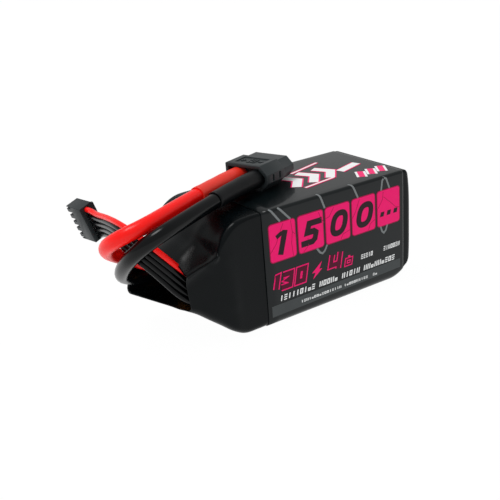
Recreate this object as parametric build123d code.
from build123d import *
import math
import os

# Four-cell lithium-polymer pack for a small racing aircraft. The pack lies on its
# broad base: +X runs towards the closed end, the leads leave at -X, +Z is up.
# The origin is the middle of the base of the wrapped pack.

os.makedirs("parts", exist_ok=True)

# ---- the wrapped pack ----
PACK_LENGTH = 82.7        # lip of the wire mouth to the closed end
PACK_WIDTH = 36.0         # over the label
PACK_HEIGHT = 37.0        # over the label
CORNER = 1.8              # long edges of the pack
LABEL_FROM, LABEL_TO = -15.75, 38.85
LABEL_FILM = 0.25
SLEEVE_WALL = 0.4
MOUTH_X = -PACK_LENGTH / 2
CLOSED_X = PACK_LENGTH / 2
END_ROUND = 1.5           # where the sleeve curls over the closed end
END_WINDOW = (23.0, 24.0, 6.0)
MID_Z = PACK_HEIGHT / 2
SHOULDER_X = -19.5        # the sleeve starts to shrink towards the mouth here

# ---- cells ----
CELLS = 4
CELL = (58.1, 34.2, 8.3)
CELL_FROM = -19.8
CELL_PAD = (50.0, 30.0, 0.6)
CELL_PITCH = CELL[2] + CELL_PAD[2]
POUCH_ROUND = 2.5                   # long edges of the pouch
TERRACE = (3.2, 31.0, 1.0)          # sealed flat edge of the pouch that the tabs leave
TAB_WIDTH, TAB_THICKNESS = 7.0, 0.3
TAB_Y = 9.0
TAB_FOLD = 4.3

# ---- tab board ----
BOARD_INNER_X, BOARD_OUTER_X = -25.8, -26.8
BOARD_WIDTH, BOARD_LOW, BOARD_HIGH = 30.0, 4.2, 32.8
SLOT_ROOM = 0.1           # round each tab in its slot
INSULATOR = 0.3
TAPE = (8.0, 0.15, 0.3)   # width, thickness, gap left above and below a joint
MAIN_JOINT = (3.1, 1.0)   # radius and height of a solder joint
BALANCE_JOINT = (1.12, 0.8)

# ---- closed end ----
END_FOAM = (33.2, 33.8, 1.4)        # width, height, thickness
END_BOARD = (30.6, 31.0, 0.8)
END_CORNER = 3.0

# ---- leads ----
MAIN_WIRE = 4.5           # outer diameter, 12 gauge silicone
BALANCE_WIRE = 1.7        # outer diameter, 22 gauge silicone
WIRE_START_X = BOARD_OUTER_X - 0.1
SLEEVE_LENGTH = 20.5
SLEEVE_OUTER = 5.5

# ---- main connector ----
CONNECTOR = (15.7, 15.9, 8.1)       # length, width, thickness
CONNECTOR_REAR = Vector(-6.95, 2.4, 41.05)
CONNECTOR_TURN = 20.0
CONNECTOR_CORNER = 2.7
GRIP_LENGTH = 9.2         # the wider rear stretch
GRIP_STEP = 0.7
LEAD_IN = 0.4             # bevel round the mating end
REAR_POCKET = 2.0         # the wires and their sleeves end in it
REAR_RIM = 1.1
SOCKET_SPACING = 7.2
SOCKET_OUTER, SOCKET_BORE, SOCKET_DEPTH = 4.9, 3.52, 11.0
SOCKET_FROM, SOCKET_TO = REAR_POCKET, 15.2
LABEL_RECESS = (5.6, 9.4, 0.35)     # sunk field on the broad faces of the grip
GRIP_EDGE = 0.35
FINGER_NOTCH = (0.9, 0.4, 2.0)      # along the grip, depth, height
NOTCHES_AT = (3.2, 6.6)

# ---- balance plug ----
PLUG = (12.9, 4.9, 7.8)             # along the row, thickness, depth
PLUG_REAR = Vector(-46.5, 33.6, 28.7)
PLUG_ROW = Vector(0.30, 0.04, -0.95)
PLUG_EXIT = Vector(0.20, -0.98, 0.02)
CONTACT_PITCH = 2.5

POSITIVE_ROUTE = [
    (-26.9, 1.0, 20.0), (-33.0, 1.0, 20.0), (-40.2, 2.8, 20.9), (-47.4, 5.6, 23.4),
    (-54.0, 4.6, 28.8), (-57.4, -2.4, 33.8), (-55.6, -9.6, 38.4), (-48.6, -11.4, 40.6),
    (-39.3, -7.7, 41.0), (-29.2, -3.2, 41.2), (-17.58, 2.36, 41.05), (-6.3, 6.46, 41.05)]
NEGATIVE_ROUTE = [
    (-26.9, 9.0, 17.5), (-32.4, 9.0, 17.5), (-38.8, 9.8, 16.4), (-45.2, 9.2, 16.2),
    (-50.8, 4.6, 19.4), (-53.6, -3.2, 25.2), (-53.0, -11.2, 31.6), (-46.8, -15.0, 36.0),
    (-37.6, -13.2, 38.9), (-28.0, -9.6, 40.4), (-16.06, -4.75, 41.05), (-3.84, -0.30, 41.05)]
# Middle wire of the flat balance lead, and the step to the next wire beside it.
BALANCE_ROUTE = [
    ((-26.9, -7.2, 11.6), (0.0, -2.4, 0.0)), ((-31.0, -7.2, 11.6), (0.0, -2.4, 0.0)),
    ((-36.4, -8.9, 16.0), (-0.9, -0.7, -1.5)), ((-43.0, -6.8, 21.8), (-1.0, 0.76, -1.38)),
    ((-46.6, -0.2, 30.4), (-0.3, 1.0, -1.55)), ((-47.4, 8.8, 35.0), (0.1, 0.5, -1.8)),
    ((-47.4, 18.2, 34.6), (0.4, 0.2, -1.9)), ((-46.9, 26.4, 31.4), (0.6, 0.1, -2.15)),
    ((-46.5, 33.6, 28.7), (0.75, 0.1, -2.38))]
LANES = range(-2, 3)


def save(name, shape):
    """Write one named piece of the pack."""
    export_step(shape, f"parts/{name}.step")


def across_x(x):
    """A plane square to the length of the pack, drawn in Y and Z."""
    return Plane(origin=(x, 0, 0), x_dir=(0, 1, 0), z_dir=(1, 0, 0))


def section(x, half_width, low, high, radius):
    """Rounded rectangle square to the length of the pack."""
    shape = RectangleRounded(2 * half_width, high - low, radius)
    return across_x(x) * Pos(0, (low + high) / 2) * shape


def block(x0, x1, y0, y1, z0, z1):
    """Box from its lowest to its highest corner."""
    return Pos((x0 + x1) / 2, (y0 + y1) / 2, (z0 + z1) / 2) * Box(x1 - x0, y1 - y0, z1 - z0)


# ---------------------------------------------------------------- sleeve and label

# Each row of the mouth's taper: x, half width, low z, high z, corner radius.
BODY_HALF = PACK_WIDTH / 2 - LABEL_FILM
BODY_CORNER = CORNER - LABEL_FILM
TAPER = [
    (SHOULDER_X, BODY_HALF, LABEL_FILM, PACK_HEIGHT - LABEL_FILM, BODY_CORNER),
    (-26.9, 17.6, 2.9, 34.6, 3.5),
    (-30.9, 17.2, 5.0, 31.2, 4.0),
    (-34.5, 15.8, 7.4, 27.8, 5.0),
    (MOUTH_X, 14.4, 9.0, 25.8, 5.5)]


def sleeve_body(wall):
    """Outer form of the shrunk sleeve, taken in by a wall thickness."""
    half, corner = BODY_HALF - wall, BODY_CORNER - wall
    main = section(SHOULDER_X, half, LABEL_FILM + wall, PACK_HEIGHT - LABEL_FILM - wall, corner)
    body = extrude(main, CLOSED_X - wall - SHOULDER_X)
    body = fillet(body.faces().sort_by(Axis.X)[-1].edges(), END_ROUND - wall)
    overrun = 1.0 if wall else 0.0
    last = TAPER[-1]
    rows = TAPER + ([(last[0] - overrun,) + last[1:]] if wall else [])
    for near, far in zip(rows, rows[1:]):
        ends = [section(x, w - wall, lo + wall, hi - wall, r - wall) for x, w, lo, hi, r in (near, far)]
        body += loft(ends, ruled=True)
    return body


window = across_x(CLOSED_X - 2) * RectangleRounded(*END_WINDOW)
window = extrude(Pos(0, 0, MID_Z) * window, 4)
sleeve_outer = sleeve_body(0)
sleeve_inner = sleeve_body(SLEEVE_WALL)
save("shrink_sleeve", sleeve_outer - sleeve_inner - window)

label = extrude(section(LABEL_FROM, PACK_WIDTH / 2, 0, PACK_HEIGHT, CORNER), LABEL_TO - LABEL_FROM)
label_hole = section(LABEL_FROM, BODY_HALF, LABEL_FILM, PACK_HEIGHT - LABEL_FILM, BODY_CORNER)
save("label_wrap", label - extrude(label_hole, LABEL_TO - LABEL_FROM))


# ---------------------------------------------------------------- cells

def cell_z(index):
    """Middle height of one cell in the stack."""
    return MID_Z + (index - (CELLS - 1) / 2) * CELL_PITCH


def pouch_cell(index):
    """Soft pouch with rounded side seams and its sealed terrace."""
    z = cell_z(index)
    pouch = Pos(CELL_FROM + CELL[0] / 2, 0, z) * Box(*CELL)
    outer_edges = pouch.edges().filter_by(Axis.X)
    pouch = fillet(outer_edges, POUCH_ROUND)
    half_width, half_seal = TERRACE[1] / 2, TERRACE[2] / 2
    terrace = block(CELL_FROM - TERRACE[0], CELL_FROM, -half_width, half_width, z - half_seal, z + half_seal)
    return pouch + terrace


def tab_side(index, positive):
    """Y of a tab: each cell is turned over from the one below, for the series string."""
    return TAB_Y if (index % 2 == 0) == positive else -TAB_Y


def fold_direction(index, positive):
    """Tabs of one joint fold towards each other, and the end tabs fold inwards."""
    if positive:
        return 1 if index < CELLS - 1 else -1
    return -1 if index > 0 else 1


def tab(index, positive):
    """Strip from the terrace, through the board and folded flat on its outer face."""
    z, y, half = cell_z(index), tab_side(index, positive), TAB_THICKNESS / 2
    low, high = y - TAB_WIDTH / 2, y + TAB_WIDTH / 2
    strip = block(BOARD_OUTER_X - TAB_THICKNESS, CELL_FROM - TERRACE[0], low, high, z - half, z + half)
    reach = fold_direction(index, positive) * TAB_FOLD
    z0, z1 = sorted((z, z + reach))
    return strip + block(BOARD_OUTER_X - TAB_THICKNESS, BOARD_OUTER_X, low, high, z0, z1)


for index in range(CELLS):
    save(f"cell_{index + 1}", pouch_cell(index))

for index in range(CELLS - 1):
    middle = (cell_z(index) + cell_z(index + 1)) / 2
    pad = Pos(CELL_FROM + CELL[0] / 2, 0, middle) * Box(*CELL_PAD)
    save(f"cell_pad_{index + 1}", pad)

save("positive_tabs", Compound([tab(i, True) for i in range(CELLS)]))
save("negative_tabs", Compound([tab(i, False) for i in range(CELLS)]))


# ---------------------------------------------------------------- tab board

def tab_slots(x0, x1):
    """Slots for all eight tabs, with a little room round each."""
    slots = []
    for index in range(CELLS):
        for side in (-TAB_Y, TAB_Y):
            z, half = cell_z(index), TAB_THICKNESS / 2 + SLOT_ROOM
            reach = TAB_WIDTH / 2 + SLOT_ROOM
            slots.append(block(x0, x1, side - reach, side + reach, z - half, z + half))
    return slots


board = block(BOARD_OUTER_X, BOARD_INNER_X, -BOARD_WIDTH / 2, BOARD_WIDTH / 2, BOARD_LOW, BOARD_HIGH)
save("tab_board", board - tab_slots(BOARD_OUTER_X - 1, BOARD_INNER_X + 1))

paper_x = BOARD_INNER_X + INSULATOR
paper = block(BOARD_INNER_X, paper_x, -BOARD_WIDTH / 2, BOARD_WIDTH / 2, BOARD_LOW, BOARD_HIGH)
save("board_insulator", paper - tab_slots(BOARD_INNER_X - 1, paper_x + 1))

# Polyimide tape over the three folded joints between neighbouring cells.
tape_x = BOARD_OUTER_X - TAB_THICKNESS
tape_width, tape_film, tape_gap = TAPE
strips = []
for index in range(CELLS - 1):
    y, low, high = tab_side(index, True), cell_z(index), cell_z(index + 1)
    y0, y1 = y - tape_width / 2, y + tape_width / 2
    strips.append(block(tape_x - tape_film, tape_x, y0, y1, low + tape_gap, high - tape_gap))
save("tab_tape", Compound(strips))


# ---------------------------------------------------------------- closed end

def end_sheet(x1, width, height, thickness):
    """Rounded sheet across the closed end, with its outer face at x1."""
    low, high = MID_Z - height / 2, MID_Z + height / 2
    return extrude(section(x1 - thickness, width / 2, low, high, END_CORNER), thickness)


board_face = CLOSED_X - SLEEVE_WALL
save("end_board", end_sheet(board_face, *END_BOARD))
save("end_foam", end_sheet(board_face - END_BOARD[2], *END_FOAM))


# ---------------------------------------------------------------- leads

def fillet_radii(points):
    """Largest arc that each corner's shorter run allows, with a little straight left."""
    radii = []
    for before, here, after in zip(points, points[1:], points[2:]):
        arrive, leave = Vector(*here) - Vector(*before), Vector(*after) - Vector(*here)
        half_turn = math.radians(arrive.get_angle(leave)) / 2
        radii.append(0.45 * min(arrive.length, leave.length) / math.tan(half_turn))
    return radii


def lead(name, points, diameter):
    """Round cord along straight runs joined by tangent arcs."""
    radii = fillet_radii(points)
    path = FilletPolyline(*points, radius=radii)
    start = Plane(origin=path @ 0, z_dir=path % 0)
    tube = sweep(start * Circle(diameter / 2), path=path)
    expected = path.length * math.pi * diameter ** 2 / 4
    print(name, "length", round(path.length, 1), "volume ratio", round(tube.volume / expected, 4))
    print("   radii", [round(r, 1) for r in radii])
    save(name, tube)
    return tube


def lane_points(lane):
    """Route of one wire of the balance lead, counted from its middle wire."""
    return [tuple(p + lane * s for p, s in zip(point, step)) for point, step in BALANCE_ROUTE]


lead("main_positive_wire", POSITIVE_ROUTE, MAIN_WIRE)
lead("main_negative_wire", NEGATIVE_ROUTE, MAIN_WIRE)
for lane in LANES:
    lead(f"balance_wire_{lane + 3}", lane_points(lane), BALANCE_WIRE)


def solder(x, y, z, radius, height):
    """Low round joint on the board's outer face, with its wire's end in it."""
    cone = Cone(radius, radius * 0.72, height)
    return Pos(x - height / 2, y, z) * Rot(0, -90, 0) * cone


def joints_on(starts, wire, radius, height):
    """Solder joints round the ends of some wires, with the wires' own room left out."""
    shapes = []
    for _, y, z in starts:
        joint = solder(BOARD_OUTER_X, y, z, radius, height)
        bore = Pos(WIRE_START_X - height, y, z) * Rot(0, 90, 0) * Cylinder(wire / 2, 2 * height)
        shapes.append(joint - bore)
    return Compound(shapes)


balance_starts = [lane_points(lane)[0] for lane in LANES]
main_starts = [POSITIVE_ROUTE[0], NEGATIVE_ROUTE[0]]
save("main_solder_joints", joints_on(main_starts, MAIN_WIRE, *MAIN_JOINT))
save("balance_solder_joints", joints_on(balance_starts, BALANCE_WIRE, *BALANCE_JOINT))


# ---------------------------------------------------------------- main connector

CONNECTOR_PLACE = Location(CONNECTOR_REAR, (0, 0, CONNECTOR_TURN))
CONNECTOR_LENGTH, CONNECTOR_WIDTH, CONNECTOR_THICKNESS = CONNECTOR
SOCKET_SIDES = {"positive": SOCKET_SPACING / 2, "negative": -SOCKET_SPACING / 2}


def keyed_section(inset):
    """Connector outline: square corners at the positive side, cut corners at the negative."""
    half_w, half_t = CONNECTOR_WIDTH / 2 - inset, CONNECTOR_THICKNESS / 2 - inset
    cut = CONNECTOR_CORNER - 0.4 * inset
    outline = Polyline(
        (half_w, -half_t), (half_w, half_t), (cut - half_w, half_t), (-half_w, half_t - cut),
        (-half_w, cut - half_t), (cut - half_w, -half_t), close=True)
    return make_face(across_x(0) * outline)


def keyed_block(x0, x1, inset):
    """Straight stretch of the connector's outline."""
    return Pos(x0, 0, 0) * extrude(keyed_section(inset), x1 - x0)


grip = keyed_block(0, GRIP_LENGTH, 0)
grip = fillet(grip.edges().filter_by(Axis.X), GRIP_EDGE)
nose = keyed_block(GRIP_LENGTH - 1, CONNECTOR_LENGTH - LEAD_IN, GRIP_STEP)
tip = loft([
    Pos(CONNECTOR_LENGTH - LEAD_IN, 0, 0) * keyed_section(GRIP_STEP),
    Pos(CONNECTOR_LENGTH, 0, 0) * keyed_section(GRIP_STEP + LEAD_IN)], ruled=True)
housing = grip + nose + tip - keyed_block(-1, REAR_POCKET, REAR_RIM)
for y in SOCKET_SIDES.values():
    hole = Pos((REAR_POCKET + CONNECTOR_LENGTH) / 2, y, 0) * Rot(0, 90, 0)
    housing -= hole * Cylinder(SOCKET_OUTER / 2, CONNECTOR_LENGTH)
recess_x = GRIP_LENGTH / 2 + 0.2
for side in (-1, 1):
    middle = side * CONNECTOR_THICKNESS / 2
    housing -= Pos(recess_x, 1.0, middle) * Box(LABEL_RECESS[0], LABEL_RECESS[1], 2 * LABEL_RECESS[2])
for x in NOTCHES_AT:
    length, depth, height = FINGER_NOTCH
    housing -= Pos(x, -CONNECTOR_WIDTH / 2, 0) * Box(length, 2 * depth, height)
save("connector_housing", CONNECTOR_PLACE * housing)

for name, y in SOCKET_SIDES.items():
    turned = Rot(0, 90, 0)
    barrel_length = SOCKET_TO - SOCKET_FROM
    barrel = Pos(SOCKET_FROM + barrel_length / 2, y, 0) * turned * Cylinder(SOCKET_OUTER / 2, barrel_length)
    bore = Pos(SOCKET_TO - SOCKET_DEPTH / 2, y, 0) * turned * Cylinder(SOCKET_BORE / 2, SOCKET_DEPTH)
    save(f"{name}_socket", CONNECTOR_PLACE * (barrel - bore))


def heat_shrink(name, points):
    """Sleeve shrunk over the last stretch of a main lead, at the connector."""
    before, corner, end = (Vector(*p) for p in points[-3:])
    first = SLEEVE_LENGTH + REAR_POCKET - (end - corner).length
    start = corner + (before - corner).normalized() * first
    radius = fillet_radii(points[-3:])[0]
    path = FilletPolyline(start, corner, end, radius=[radius])
    plane = Plane(origin=path @ 0, z_dir=path % 0)
    outer = sweep(plane * Circle(SLEEVE_OUTER / 2), path=path)
    inner = sweep(plane * Circle(MAIN_WIRE / 2 + 0.03), path=path)
    save(name, outer - inner)


heat_shrink("positive_sleeve", POSITIVE_ROUTE)
heat_shrink("negative_sleeve", NEGATIVE_ROUTE)


# ---------------------------------------------------------------- balance plug

PLUG_PLACE = Plane(origin=PLUG_REAR, x_dir=PLUG_ROW, z_dir=PLUG_EXIT)
PLUG_ROW_LENGTH, PLUG_THICKNESS, PLUG_DEPTH = PLUG
CAVITY = 1.95
CATCH_WINDOW = (1.1, 1.8)           # width, length
CATCH_AT = 3.2                      # from the wire side
TOOTH, TOOTH_DEPTH = 1.3, 2.4
LIP = (0.6, 1.0)                    # height, length
CONTACT, CONTACT_LENGTH, CONTACT_HOLE = 1.7, 5.6, 0.9
CONTACT_FROM = 0.6                  # below the wire side

plug = Pos(0, 0, -PLUG_DEPTH / 2) * Box(PLUG_ROW_LENGTH, PLUG_THICKNESS, PLUG_DEPTH)
plug = fillet(plug.edges().filter_by(Axis.Z), 0.25)
for lane in LANES:
    plug -= Pos(lane * CONTACT_PITCH, 0, -PLUG_DEPTH / 2) * Box(CAVITY, CAVITY, PLUG_DEPTH + 1)
    catch = Box(CATCH_WINDOW[0], PLUG_THICKNESS - CAVITY, CATCH_WINDOW[1])
    plug -= Pos(lane * CONTACT_PITCH, PLUG_THICKNESS / 2, -CATCH_AT) * catch
# The mating end is notched on one long side, which leaves a tooth over each contact.
wall = (PLUG_THICKNESS - CAVITY) / 2
notch_y = -PLUG_THICKNESS / 2 + wall / 2
notch_z = -PLUG_DEPTH + TOOTH_DEPTH / 2
for gap in range(len(LANES) + 1):
    x = (gap - len(LANES) / 2) * CONTACT_PITCH
    width = CONTACT_PITCH - TOOTH
    if gap in (0, len(LANES)):
        x -= math.copysign(0.25, x)
        width -= 0.5
    plug -= Pos(x, notch_y, notch_z) * Box(width, wall + 0.02, TOOTH_DEPTH)
# low lip along the wire side, for the fingers
lip_height, lip_length = LIP
lip = Box(PLUG_ROW_LENGTH - 1.0, lip_height, lip_length)
plug += Pos(0, (PLUG_THICKNESS + lip_height) / 2, -lip_length / 2) * lip
save("balance_plug_housing", PLUG_PLACE * plug)

contacts = []
for lane in LANES:
    middle = Pos(lane * CONTACT_PITCH, 0, -CONTACT_FROM - CONTACT_LENGTH / 2)
    shell = middle * Box(CONTACT, CONTACT, CONTACT_LENGTH)
    contacts.append(shell - middle * Box(CONTACT_HOLE, CONTACT_HOLE, CONTACT_LENGTH + 1))
save("balance_contacts", PLUG_PLACE * Compound(contacts))
